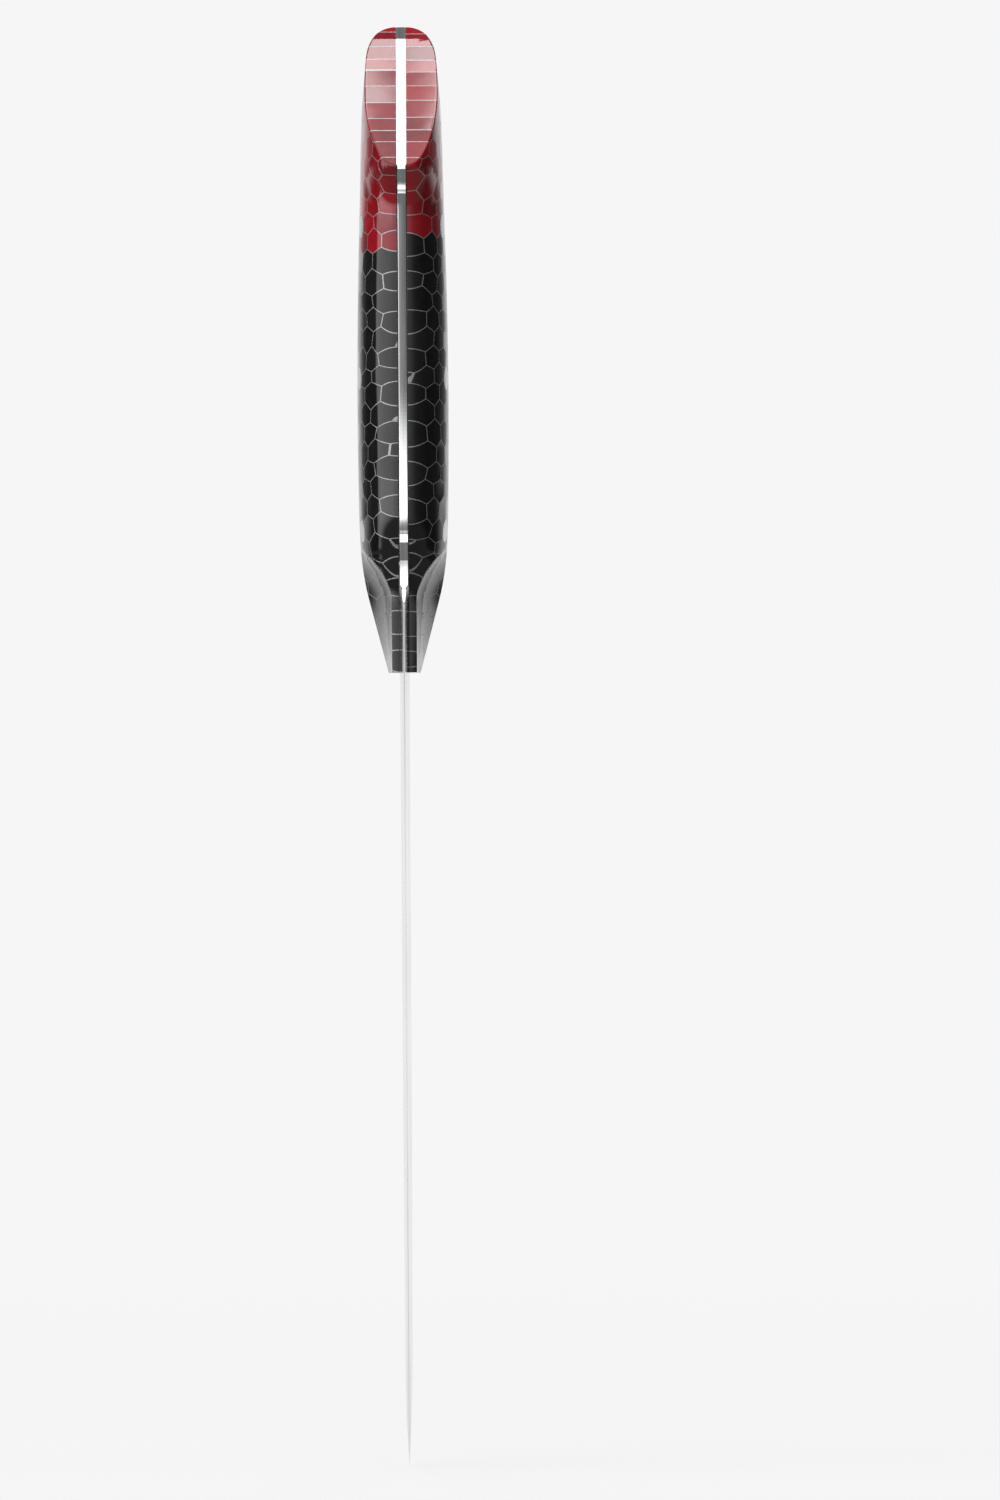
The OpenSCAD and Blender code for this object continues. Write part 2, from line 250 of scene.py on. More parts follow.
def scaleSkin():
    # the right-hand scale as one closed solid, before the foil divides it
    steps = [0.12] + list(np.arange(0.6, 28, 0.55)) + list(np.arange(28.4, 90, 1.1))
    ring = len(sectionAt(10))
    grid = np.arange(88, 139, 0.25)
    table = np.array([sectionAt(u) for u in grid])
    rows = []
    first = sectionAt(0)
    middle = (1.1 + 1.2, 9.0)
    rows.append([(middle[0] + (x - middle[0]) * 0.94 if k not in (0, ring - 1) else x,
                  middle[1] + (h - middle[1]) * 0.985, 0.0) for k, (x, h) in enumerate(first)])
    for u in steps:
        rows.append([(x, h, u) for x, h in sectionAt(u)])
    along, deep = handle["buttCorner"]
    slope = tan(radians(handle["buttSlope"]))
    ends, starts = [], steps[-1]
    for k in range(ring):
        gap = table[:, k, 1] - (deep - (grid - along) * slope)
        hit = int(np.argmax(gap >= 0))
        f = gap[hit - 1] / (gap[hit - 1] - gap[hit])
        ends.append(grid[hit - 1] + f * (grid[hit] - grid[hit - 1]))

    def onLine(k, u):
        return Vector((np.interp(u, grid, table[:, k, 0]), np.interp(u, grid, table[:, k, 1]), u))

    lines = 34
    for s in range(1, lines + 1):
        row = []
        for k in range(ring):
            stop = ends[k] - handle["rim"] - 0.15
            row.append(tuple(onLine(k, starts + (stop - starts) * s / lines)))
        rows.append(row)
    rim = [onLine(k, ends[k]) for k in range(ring)]
    lean = radians(handle["buttSlope"])
    away = Vector((0, cos(lean), sin(lean)))   # out of the facet
    for t in (0.0, 0.3, 0.55, 0.8, 1.0):
        row = []
        for k in range(ring):
            near, far = rim[max(k - 1, 0)], rim[min(k + 1, ring - 1)]
            inside = away.cross(far - near).normalized()
            if inside.dot(Vector((places["inner"] - 1, 12, 122)) - rim[k]) < 0:
                inside = -inside
            back = (onLine(k, ends[k] - 0.4) - rim[k]).normalized()
            start, stop = rim[k] + back * handle["rim"], rim[k] + inside * handle["rim"]
            point = start * (1 - t) ** 2 + rim[k] * 2 * t * (1 - t) + stop * t * t
            if k in (0, ring - 1):
                point.x = places["inner"]
            row.append(tuple(point))
        rows.append(row)
    points = [toPoint(x, h, u) for row in rows for x, h, u in row]
    faces = strips(len(rows), ring)
    faces.append(tuple(range(ring - 1, -1, -1)))
    faces.append(tuple((len(rows) - 1) * ring + k for k in range(ring)))
    mesh = outward(meshFrom("scaleSkin", points, faces))
    work = bmesh.new()
    work.from_mesh(mesh)
    for lipAlong, lipDeep, tilt in handle["lips"]:
        a = radians(tilt)
        cut = bmesh.ops.bisect_plane(work, geom=work.verts[:] + work.edges[:] + work.faces[:],
                                     plane_co=toPoint(0, lipDeep, lipAlong), plane_no=(0, -cos(a), sin(a)),
                                     clear_outer=True)
        edges = [e for e in cut["geom_cut"] if isinstance(e, bmesh.types.BMEdge)]
        bmesh.ops.holes_fill(work, edges=edges)
    bmesh.ops.recalc_face_normals(work, faces=work.faces)
    work.to_mesh(mesh)
    work.free()
    mesh.update()
    return mesh


class Wire:
    # a socket that can be added, multiplied and so on like a number
    def __init__(self, tree, socket):
        self.tree, self.socket = tree, socket

    def maths(self, how, *values):
        node = self.tree.nodes.new("ShaderNodeMath")
        node.operation = how
        for place, value in enumerate(values):
            plug(self.tree, node.inputs[place], value)
        return Wire(self.tree, node.outputs[0])

    def __add__(self, other): return self.maths("ADD", self, other)
    def __radd__(self, other): return self.maths("ADD", other, self)
    def __sub__(self, other): return self.maths("SUBTRACT", self, other)
    def __rsub__(self, other): return self.maths("SUBTRACT", other, self)
    def __mul__(self, other): return self.maths("MULTIPLY", self, other)
    def __rmul__(self, other): return self.maths("MULTIPLY", other, self)
    def __truediv__(self, other): return self.maths("DIVIDE", self, other)
    def __rtruediv__(self, other): return self.maths("DIVIDE", other, self)
    def __neg__(self): return self.maths("MULTIPLY", self, -1)
    def apply(self, how, *more): return self.maths(how, self, *more)

    def ease(self, start, stop, low=0.0, high=1.0):
        node = self.tree.nodes.new("ShaderNodeMapRange")
        node.interpolation_type = "SMOOTHSTEP"
        plug(self.tree, node.inputs["Value"], self)
        for name, value in zip(("From Min", "From Max", "To Min", "To Max"), (start, stop, low, high)):
            node.inputs[name].default_value = value
        return Wire(self.tree, node.outputs[0])


def plug(tree, socket, value):
    if isinstance(value, Wire):
        tree.links.new(value.socket, socket)
    elif isinstance(value, (tuple, list)) and socket.type == "RGBA" and len(value) == 3:
        socket.default_value = (*value, 1)
    else:
        socket.default_value = value


class Recipe:
    def __init__(self, owner):
        owner.use_nodes = True
        self.tree = owner.node_tree
        self.tree.nodes.clear()

    def add(self, kind, settings=None, sockets=None, out=0):
        node = self.tree.nodes.new(kind)
        for name, value in (settings or {}).items():
            setattr(node, name, value)
        for name, value in (sockets or {}).items():
            plug(self.tree, node.inputs[name], value)
        return Wire(self.tree, node.outputs[out]) if node.outputs else node

    def place(self):
        where = self.add("ShaderNodeTexCoord", out="Object")
        parts = self.tree.nodes.new("ShaderNodeSeparateXYZ")
        plug(self.tree, parts.inputs[0], where)
        return where, [Wire(self.tree, o) for o in parts.outputs]

    def stretch(self, where, scale):
        return self.add("ShaderNodeVectorMath", {"operation": "MULTIPLY"}, {0: where, 1: scale})

    def noise(self, where, scale, detail=2.0, rough=0.5):
        return self.add("ShaderNodeTexNoise", {"noise_dimensions": "3D"},
                        {"Vector": where, "Scale": scale, "Detail": detail, "Roughness": rough})

    def blend(self, factor, a, b, how="MIX"):
        node = self.tree.nodes.new("ShaderNodeMix")
        node.data_type, node.blend_type = "RGBA", how
        plug(self.tree, node.inputs[0], factor)
        plug(self.tree, node.inputs[6], a)
        plug(self.tree, node.inputs[7], b)
        return Wire(self.tree, node.outputs[2])

    def bump(self, height, strength, distance):
        return self.add("ShaderNodeBump", None,
                        {"Strength": strength, "Distance": distance, "Height": height})

    def end(self, surface, kind="ShaderNodeOutputMaterial"):
        self.add(kind, None, {"Surface": surface})


def newMaterial(name, colour):
    made = bpy.data.materials.new(name)
    made.diffuse_color = (*colour, 1)
    return made, Recipe(made)


def resinMaterial(name, look):
    made, r = newMaterial(name, look["base"])
    where, (x, y, z) = r.place()
    tone = r.add("ShaderNodeAttribute", {"attribute_name": "cellTone"}, out="Fac")
    cloud = r.noise(where, 420, 3)
    base = r.blend(tone, look["deep"], look["base"])
    base = r.blend(cloud.ease(0.35, 0.8) * look["cloudy"], base, look["pale"])
    scuffs = r.noise(r.stretch(where, (1.0, 1.0, 0.06)), 5200, 2).ease(0.62, 0.75)
    haze = r.noise(where, 60, 2).ease(0.4, 0.75)
    rough = look["rough"] + haze * look["haze"] + scuffs * 0.05
    swell = r.noise(where, 260, 1)
    fine = r.noise(r.stretch(where, (1.0, 1.0, 0.1)), 6000, 1)
    normal = r.bump(swell + fine * 0.02, 0.35, 0.000012)
    r.end(r.add("ShaderNodeBsdfPrincipled", None, {"Base Color": base, "Roughness": rough, "IOR": 1.5,
                                                    "Normal": normal}))
    return made


blackResin = resinMaterial("blackResin", {
    "base": (0.007, 0.007, 0.008), "deep": (0.002, 0.002, 0.003), "pale": (0.015, 0.015, 0.015),
    "cloudy": 0.25, "rough": 0.06, "haze": 0.05})
redResin = resinMaterial("redResin", {
    "base": (0.26, 0.0035, 0.010), "deep": (0.13, 0.002, 0.005), "pale": (0.36, 0.015, 0.022),
    "cloudy": 0.3, "rough": 0.06, "haze": 0.05})


def foilMaterial():
    made, r = newMaterial("foil", (0.75, 0.76, 0.77))
    where, parts = r.place()
    grain = r.noise(where, 3000, 3)
    base = r.blend(grain.ease(0.3, 0.7), (0.22, 0.22, 0.23), (0.36, 0.36, 0.37))
    normal = r.bump(grain, 0.25, 0.00001)
    r.end(r.add("ShaderNodeBsdfPrincipled", None,
                {"Base Color": base, "Metallic": 0.6, "Roughness": grain.ease(0.2, 0.8, 0.28, 0.42),
                 "Normal": normal}))
    return made


def steelMaterial(name, look):
    made, r = newMaterial(name, look["base"])
    where, (x, y, z) = r.place()
    flank = r.noise(r.stretch(where, look["run"]), look["fine"], 4, 0.65)
    along = r.noise(r.stretch(where, (1.0, 0.012, 0.012)), look["fine"] * 0.6, 2, 0.5)
    onTang = z.ease(look["tangFrom"], look["tangFrom"] + 0.004)
    lines = flank + (along - flank) * onTang
    broad = r.noise(where, 35, 3)
    spots = r.noise(where, 900, 2).ease(0.66, 0.74)
    base = r.blend(lines.ease(0.3, 0.72), look["dark"], look["base"])
    base = r.blend(spots * 0.2, base, look["stain"])
    # painted shade: from tangFrom back, the steel colour is pulled towards the dark tang grey, standing in
    # for the shade on the tang between the scales
    base = r.blend(onTang * look["tangPaintedShade"], base, look["tang"])
    rough = broad.ease(0.3, 0.7, look["rough"], look["rough"] + 0.08) + (lines - 0.5) * 0.08
    rough = rough + onTang * look["tangRough"]
    normal = r.bump(lines, look["depth"], 0.00002)
    r.end(r.add("ShaderNodeBsdfPrincipled", None, {"Base Color": base, "Metallic": 1.0, "Roughness": rough,
                                                    "Normal": normal}))
    return made


def glueMaterial():
    made, r = newMaterial("glue", (0.03, 0.03, 0.03))
    where, parts = r.place()
    mottle = r.noise(where, 900, 3)
    base = r.blend(mottle.ease(0.3, 0.7), (0.012, 0.012, 0.012), (0.05, 0.048, 0.045))
    r.end(r.add("ShaderNodeBsdfPrincipled", None,
                {"Base Color": base, "Roughness": mottle.ease(0.2, 0.8, 0.35, 0.6),
                 "Normal": r.bump(mottle, 0.3, 0.00001)}))
    return made


foil = foilMaterial()
glue = glueMaterial()
# the tang grey and its share below are painted shade on the tang between the scales, not a different finish
# of the steel
steel = steelMaterial("bladeSteel", {"base": (0.78, 0.79, 0.80), "dark": (0.60, 0.61, 0.62),
                                     "stain": (0.35, 0.34, 0.33), "tang": (0.34, 0.34, 0.35),
                                     "tangFrom": -0.050, "tangPaintedShade": 0.25, "tangRough": 0.07,
                                     "run": (0.35, 0.03, 1.0), "fine": 9000, "rough": 0.10, "depth": 0.008})
pinSteel = steelMaterial("pinSteel", {"base": (0.74, 0.75, 0.76), "dark": (0.55, 0.56, 0.57),
                                      "stain": (0.3, 0.29, 0.28), "tang": (0.5, 0.5, 0.5),
                                      "tangFrom": 1.0, "tangPaintedShade": 0.0, "tangRough": 0.0,
                                      "run": (1.0, 1.0, 0.05), "fine": 7000, "rough": 0.24, "depth": 0.3})
print("materials made")


def trimButt(mesh, facetToo=True):
    planes = [(lipAlong, lipDeep, tilt) for lipAlong, lipDeep, tilt in handle["lips"]]
    if facetToo:
        planes.insert(0, (*handle["buttCorner"], handle["buttSlope"]))
    work = bmesh.new()
    work.from_mesh(mesh)
    for along, deep, tilt in planes:
        a = radians(tilt)
        cut = bmesh.ops.bisect_plane(work, geom=work.verts[:] + work.edges[:] + work.faces[:],
                                     plane_co=toPoint(0, deep, along), plane_no=(0, -cos(a), sin(a)),
                                     clear_outer=True)
        edges = [e for e in cut["geom_cut"] if isinstance(e, bmesh.types.BMEdge)]
        bmesh.ops.holes_fill(work, edges=edges)
    bmesh.ops.recalc_face_normals(work, faces=work.faces)
    work.to_mesh(mesh)
    work.free()
    mesh.update()
    return mesh


blade = {
    "back": [(0, 14), (3, 12), (8, 9.6), (16, 6.9), (30, 4.1), (45, 2.6), (60, 1.7), (90, 0.8), (120, 0.3),
             (150, 0.05), (166.2, 0)],
    "edge": [(0, 14), (3, 18.6), (10, 24.6), (20, 29.6), (30, 33.2), (45, 37.2), (60, 40.1), (80, 42.5),
             (100, 43.8), (120, 44.6), (140, 45), (180.3, 45)],
    "length": 166.2, "choil": 23.4, "heel": 180.3,
    "grind": 0.0191, "taper": 0.0008, "tipThick": 0.05, "tipSlope": 0.044,
    "chamfer": 0.18, "keen": 0.012, "bevel": 0.27,
    "columns": 34,
    "across": (0.8, 0.4, 0, -0.35, -0.5, -0.65, -0.82),   # points over the edge that faces down
    # how far the shading leans over that edge, in degrees, near the choil and near the butt
    "leansFront": [(-1, -26), (0.5, -20), (1, -15)],
    "leansRear": [(-1, -24), (-0.82, -20), (-0.65, 14), (0.4, 19), (0.8, 22), (1, -20)],
    "leansMeet": (38, 62),
    # short stretches of it that dip, along the handle, and how the choil and the top end are rounded
    "pitches": [(27.2, 0), (27.5, 15), (29.0, 15), (29.3, 0), (100.2, 0), (100.5, 21), (102.4, 21),
                (102.7, 0), (104.8, 0), (105.0, 30), (106, 30)],
    "dentLean": -20,
    "choilLean": (0, 39),
    "lipLean": (32, 46),
}
backAt = smoothCurve(blade["back"], 0, 0.05)
edgeAt = smoothCurve(blade["edge"], 0, 0.05)


def eased(value, start, stop):
    s = min(max((value - start) / (stop - start), 0), 1)
    return s * s * (3 - 2 * s)


def halfSteelAt(h, u, fromTop, fromEdge, sharp):
    flat = places["halfSteel"]
    t = blade["length"] + u
    ground = min(flat - blade["grind"] * h - blade["taper"] * (blade["length"] - t),
                 blade["tipThick"] + blade["tipSlope"] * t, flat)
    behind = 14.5 + 3.5 * min(max((h - 17.7) / 9.3, 0), 1)
    amount = max(eased(-u, 0.1, 0.9), eased(h, 17.1, 17.8) * eased(behind - u, -0.5, 0.6))
    x = flat + (ground - flat) * amount
    x = min(x, max(x - blade["chamfer"], 0.02) + fromTop)
    if sharp:
        return min(x, blade["keen"] + blade["bevel"] * fromEdge)
    return min(x, max(x - blade["chamfer"], 0.02) + fromEdge)


def bladeRows():
    rows = []
    for t in [0.05, 0.2, 0.45, 0.8, 1.3, 2, 3, 4.2, 5.5, 7] + list(np.arange(8.5, 165, 1.5)):
        rows.append((t - blade["length"], float(backAt(t)), float(edgeAt(t)), True))
    for u in (-1, -0.8, -0.6, -0.4, -0.2, 0, 1, 2.5, 4, 5.5, 7, 8.5, 10, 11.5, 12.8, 13.7):
        rows.append((u, float(spineAt(u)), float(edgeAt(u + blade["length"])), True))
    start = (float(bellyAt(blade["choil"])), blade["choil"])
    stop = (blade["edge"][-1][1], blade["heel"] - blade["length"])
    mid1, mid2 = (start[0] + 3, start[1] - 5.5), (stop[0] - 15, stop[1] + 1.8)
    for s in np.linspace(1, 0, 30):
        w = [(1 - s) ** 3, 3 * s * (1 - s) ** 2, 3 * s * s * (1 - s), s ** 3]
        deep = sum(k * p[0] for k, p in zip(w, (start, mid1, mid2, stop)))
        along = sum(k * p[1] for k, p in zip(w, (start, mid1, mid2, stop)))
        rows.append((along, float(spineAt(along)), deep, False))
    for u in np.arange(blade["choil"] + 0.6, 138, 0.8):
        rows.append((u, float(spineAt(u)), float(bellyAt(u)), False))
    return rows


def bladeMesh():
    rows, points = bladeRows(), []
    near = (0, 0.09, 0.18, 0.25)
    for u, top, bottom, sharp in rows:
        tall = bottom - top
        k = min(1, tall / 4)
        offsets = [d * k for d in near]
        for i in range(1, blade["columns"]):
            offsets.append(0.25 * k + (tall - 0.85 * k) * i / blade["columns"])
        offsets += [tall - d * k for d in (0.6, 0.45, 0.3, 0.25, 0.18, 0.09, 0)]
        side = [(halfSteelAt(top + d, u, d, tall - d, sharp), top + d) for d in offsets]
        x, h = side[-1]
        side += [(x * k, h) for k in blade["across"]]
        points += [toPoint(x, h, u) for x, h in side]
        points += [toPoint(-x, h, u) for x, h in reversed(side[:-len(blade["across"])])]
    ring = len(points) // len(rows)
    faces = strips(len(rows), ring)
    faces.append(tuple(range(ring - 1, -1, -1)))
    faces.append(tuple((len(rows) - 1) * ring + k for k in range(ring)))
    return trimButt(outward(meshFrom("bladeSteel", points, faces)))


def smoothMesh(mesh, angle):
    mesh.polygons.foreach_set("use_smooth", [True] * len(mesh.polygons))
    mesh.set_sharp_from_angle(angle=radians(angle))
    return mesh


def dress(name, mesh, material, node):
    mesh.materials.clear()
    mesh.materials.append(material)
    mesh.name = name
    piece = newPiece(name, mesh)
    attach(piece, "root")
    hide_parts(node)
    return piece


def leanTang(mesh):
    # steers the gloss on the tang's lower edge, the choil and the lip, and leaves their shape alone
    count = len(mesh.loops)
    normals = np.zeros(count * 3)
    mesh.corner_normals.foreach_get("vector", normals)
    normals = normals.reshape(-1, 3)
    front, rear = (list(zip(*blade[k])) for k in ("leansFront", "leansRear"))
    for poly in mesh.polygons:
        u = poly.center.z / mm - places["front"]
        choil = 14 < u < 23.5 and poly.normal.z > 0.15 and abs(poly.normal.x) < 0.3
        lip = u > 134 and 0.6 < poly.normal.z < 0.8
        if choil or lip:
            a, p = (radians(v) for v in blade["choilLean" if choil else "lipLean"])
            for loop in poly.loop_indices:
                normals[loop] = (-sin(a), -cos(a) * cos(p), cos(a) * sin(p))
            continue
        if poly.normal.y > -0.35 or abs(poly.normal.x) > 0.3 or not 14.2 < u < 105.7:
            continue
        for loop in poly.loop_indices:
            x = mesh.vertices[mesh.loops[loop].vertex_index].co.x / mm / places["halfSteel"]
            mix = eased(u, *blade["leansMeet"])
            a = radians(float(np.interp(x, *front) * (1 - mix) + np.interp(x, *rear) * mix))
            p = radians(float(np.interp(u, *zip(*blade["pitches"]))))
            a = radians(blade["dentLean"]) if p > 0 else a
            nx, ny, nz = normals[loop]
            ny, nz = ny * cos(p) + nz * sin(p), nz * cos(p) - ny * sin(p)
            normals[loop] = (nx * cos(a) - ny * sin(a), nx * sin(a) + ny * cos(a), nz)
    mesh.normals_split_custom_set(normals.tolist())
    return mesh


print("blade")
cutBlade = smoothMesh(cutWith(bladeMesh(), pinHoles(holeGap), "DIFFERENCE"), 14)
dress("bladeSteel", leanTang(cutBlade), steel, "blade")


comb = {
    "pitch": 4.6, "wall": 0.17, "uneven": 0.28, "depth": 0.012,
    "rows": (-18, 21), "cells": (-6, 5),
    "left": {"seed": 55, "redFrom": 7},
    "right": {"seed": 54, "redFrom": 8},
}


def chance(i, j, k):
    v = sin(radians(i * 127.1 + j * 311.7 + k * 74.7)) * 43758.5453
    return v - floor(v)


def cellMiddle(i, j, seed):
    pitch, pull = comb["pitch"], comb["uneven"]
    return (pitch * (i + abs(j) % 2 / 2 + pull * (2 * chance(i, j, seed) - 1)),
            pitch * sin(radians(60)) * j + pitch * pull * (2 * chance(i, j, seed + 5) - 1))


def latticeMesh(seed):
    rowRange = range(comb["rows"][0], comb["rows"][1] + 1)
    cellRange = range(comb["cells"][0], comb["cells"][1] + 1)
    order = {(i, j): n for n, (j, i) in enumerate((j, i) for j in rowRange for i in cellRange)}
    points = [Vector((*cellMiddle(i, j, seed), 0)) * mm for j in rowRange for i in cellRange]
    faces = []
    for (i, j), n in order.items():
        odd = abs(j) % 2
        for a, b in (((i + 1, j), (i + odd, j + 1)), ((i + odd, j + 1), (i + odd - 1, j + 1))):
            if a in order and b in order:
                faces.append((n, order[a], order[b]))
    mesh = meshFrom("lattice", points, faces)
    row = mesh.attributes.new("row", "FLOAT", "POINT")
    row.data.foreach_set("value", [float(j) for j in rowRange for i in cellRange])
    return mesh


def combTree():
    tree = bpy.data.node_groups.new("honeycomb", "GeometryNodeTree")
    tree.is_modifier = True
    tree.interface.new_socket("Lattice", in_out="INPUT", socket_type="NodeSocketGeometry")
    for name in ("First row", "Last row", "Cell size", "Depth", "Start"):
        tree.interface.new_socket(name, in_out="INPUT", socket_type="NodeSocketFloat")
    tree.interface.new_socket("Material", in_out="INPUT", socket_type="NodeSocketMaterial")
    tree.interface.new_socket("Prisms", in_out="OUTPUT", socket_type="NodeSocketGeometry")

    def put(kind, settings=None, **sockets):
        node = tree.nodes.new(kind)
        for name, value in (settings or {}).items():
            setattr(node, name, value)
        for name, value in sockets.items():
            socket = node.inputs[int(name[1:])] if name[0] == "_" else node.inputs[name.replace("_", " ")]
            if hasattr(value, "is_output"):
                tree.links.new(value, socket)
            else:
                socket.default_value = value
        return node

    given = put("NodeGroupInput").outputs
    dual = put("GeometryNodeDualMesh", _0=given["Lattice"])
    row = put("GeometryNodeInputNamedAttribute", {"data_type": "FLOAT"}, Name="row")
    after = put("ShaderNodeMath", {"operation": "GREATER_THAN"}, _0=row.outputs[0], _1=given["First row"])
    before = put("ShaderNodeMath", {"operation": "LESS_THAN"}, _0=row.outputs[0], _1=given["Last row"])
    both = put("ShaderNodeMath", {"operation": "MULTIPLY"}, _0=after.outputs[0], _1=before.outputs[0])
    kept = put("GeometryNodeSeparateGeometry", {"domain": "FACE"}, _0=dual.outputs[0],
               Selection=both.outputs[0])
    split = put("GeometryNodeSplitEdges", _0=kept.outputs[0])
    small = put("GeometryNodeScaleElements", {"domain": "FACE"}, _0=split.outputs[0],
                Scale=given["Cell size"])
    height = put("ShaderNodeCombineXYZ", _2=given["Depth"])
    tall = put("GeometryNodeExtrudeMesh", {"mode": "FACES"}, _0=small.outputs[0], Offset=height.outputs[0],
               Offset_Scale=1.0, Individual=False)
    base = put("GeometryNodeFlipFaces", _0=small.outputs[0])
    whole = put("GeometryNodeJoinGeometry")
    tree.links.new(tall.outputs[0], whole.inputs[0])
    tree.links.new(base.outputs[0], whole.inputs[0])
    closed = put("GeometryNodeMergeByDistance", _0=whole.outputs[0], Distance=1e-7)
    shift = put("ShaderNodeCombineXYZ", _0=given["Start"])
    stood = put("GeometryNodeTransform", _0=closed.outputs[0], Translation=shift.outputs[0],
                Rotation=(pi / 2, 0, pi / 2))
    real = put("GeometryNodeRealizeInstances", _0=stood.outputs[0])
    painted = put("GeometryNodeSetMaterial", _0=real.outputs[0], Material=given["Material"])
    put("NodeGroupOutput", _0=painted.outputs[0])
    return tree


tree = combTree()


def prisms(side, firstRow, lastRow, material):
    holder = newPiece("comb", latticeMesh(comb[side]["seed"]))
    change = holder.modifiers.new("comb", "NODES")
    given = {"First row": firstRow - 0.5, "Last row": lastRow + 0.5, "Depth": comb["depth"],
             "Cell size": 1 - comb["wall"] / comb["pitch"],
             "Start": 0.0 if side == "right" else -comb["depth"], "Material": material}
    change.node_group = tree
    for item in tree.interface.items_tree:
        if item.in_out == "INPUT" and item.name in given:
            change[item.identifier] = given[item.name]
    return takeMesh(holder)


def guideOf(mesh):
    # a triangle soup of the smooth skin with a normal at every corner, to shade cut pieces by
    work = bmesh.new()
    work.from_mesh(mesh)
    bmesh.ops.triangulate(work, faces=[f for f in work.faces if len(f.verts) > 3])
    for edge in work.edges:
        if len(edge.link_faces) == 2:
            one, two = (f.normal for f in edge.link_faces)
            flats = all(abs(n.x) < 0.01 and n.z > 0.3 for n in (one, two))
            turn = one.angle(two, 0)
            edge.smooth = not (turn > radians(22) or (flats and turn > radians(3)))
    for face in work.faces:
        face.smooth = True
    smooth = bpy.data.meshes.new("guide")
    work.to_mesh(smooth)
    work.free()
    count = len(smooth.loops)
    normals = np.zeros(count * 3)
    smooth.corner_normals.foreach_get("vector", normals)
    points = [v.co.copy() for v in smooth.vertices]
    triangles = [tuple(p.vertices) for p in smooth.polygons]
    tree = BVHTree.FromPolygons(points, triangles)
    return {"tree": tree, "points": points, "triangles": triangles, "normals": normals.reshape(-1, 3, 3)}


def islandsOf(mesh):
    parent = list(range(len(mesh.vertices)))

    def root(v):
        while parent[v] != v:
            parent[v] = parent[parent[v]]
            v = parent[v]
        return v

    for edge in mesh.edges:
        a, b = root(edge.vertices[0]), root(edge.vertices[1])
        if a != b:
            parent[max(a, b)] = min(a, b)
    return [root(v) for v in range(len(parent))]


# how a cut face finds its triangle on the smooth skin
match = {"inward": (0.03, 0.3, 0.7, 1), "same": 0.999, "least": 0.5, "gap": 4e-6}


def shadeBy(guide, mesh, look=None):
    # corner normals from the smooth skin; each resin cell leans and dishes a little
    points = [v.co.copy() for v in mesh.vertices]
    neckEnd = handle["neckEnd"]
    normals = []
    island = islandsOf(mesh) if look else None
    middles, leans = {}, {}
    if look:
        chooser = np.random.RandomState(look["seed"])
        sums = {}
        for poly in mesh.polygons:
            total = sums.setdefault(island[poly.vertices[0]], [Vector(), 0.0])
            if abs(poly.center.x) > 0.0016:
                total[0] += poly.center * poly.area
                total[1] += poly.area
        for key in sorted(sums):
            total, area = sums[key]
            middles[key] = total / max(area, 1e-12)
            leans[key] = (Vector(chooser.uniform(-1, 1, 3)), chooser.uniform(0, 1))
    for poly in mesh.polygons:
        centre = poly.center
        u, h = centre.z / mm - places["front"], places["spine"] - centre.y / mm
        if u < neckEnd and h > handle["plainFrom"] and poly.normal.y < -0.02:
            # smoothed normals leave specks along the ridges here, for a reason not found
            normals += [poly.normal.copy()] * len(poly.vertices)
            continue
        for vertex in poly.vertices:
            here = points[vertex]
            for inward in match["inward"]:
                hit, flat, index, gap = guide["tree"].find_nearest(here.lerp(centre, inward))
                if flat.dot(poly.normal) > match["same"]:
                    break
            if gap > match["gap"] or flat.dot(poly.normal) < match["least"]:
                normals.append(poly.normal)
                continue
            a, b, c = (guide["points"][k] for k in guide["triangles"][index])
            one, two, three = (Vector(n) for n in guide["normals"][index])
            area = (b - a).cross(c - a).dot(flat)
            wb = min(max((here - a).cross(c - a).dot(flat) / area, 0), 1)
            wc = min(max((b - a).cross(here - a).dot(flat) / area, 0), 1)
            normal = (one * max(1 - wb - wc, 0) + two * wb + three * wc).normalized()
            level = eased(here.z / mm - places["front"], neckEnd, neckEnd - handle["neckFade"])
            level *= eased(-normal.y, 0.8, 0.4)
            if normal.y < 0 and level > 0:   # the scoops are shaded flatter than they are
                less = normal.y * (1 - level * (1 - handle["neckFlat"]))
                normal.y = min(less, -handle["leastTilt"] * level)
                normal.normalize()
            if look and abs(poly.normal.x) < 0.999:
                key = island[vertex]
                facet = poly.normal.z > 0.3
                amount = look["leanFacet"] if facet else look["lean"]
                across = (here - middles[key]) / (comb["pitch"] / 2 * mm)
                dish = look["dish"] * (look["facetDish"] if facet else 1)
                if here.z / mm - places["front"] < neckEnd and abs(poly.normal.x) > 0.5:
                    amount, dish = look["leanNeck"], 0
                normal = normal + leans[key][0] * amount - across * min(across.length, 1.5) * dish
                normal.normalize()
            normals.append(normal)
    smoothMesh(mesh, 18)
    mesh.normals_split_custom_set(normals)
    if look:
        tone = mesh.attributes.new("cellTone", "FLOAT", "FACE")
        tone.data.foreach_set("value", [leans[island[p.vertices[0]]][1] for p in mesh.polygons])
    return mesh


def mirrored(mesh):
    other = mesh.copy()
    other.transform(Matrix.Scale(-1, 4, (1, 0, 0)))
    other.flip_normals()
    return other


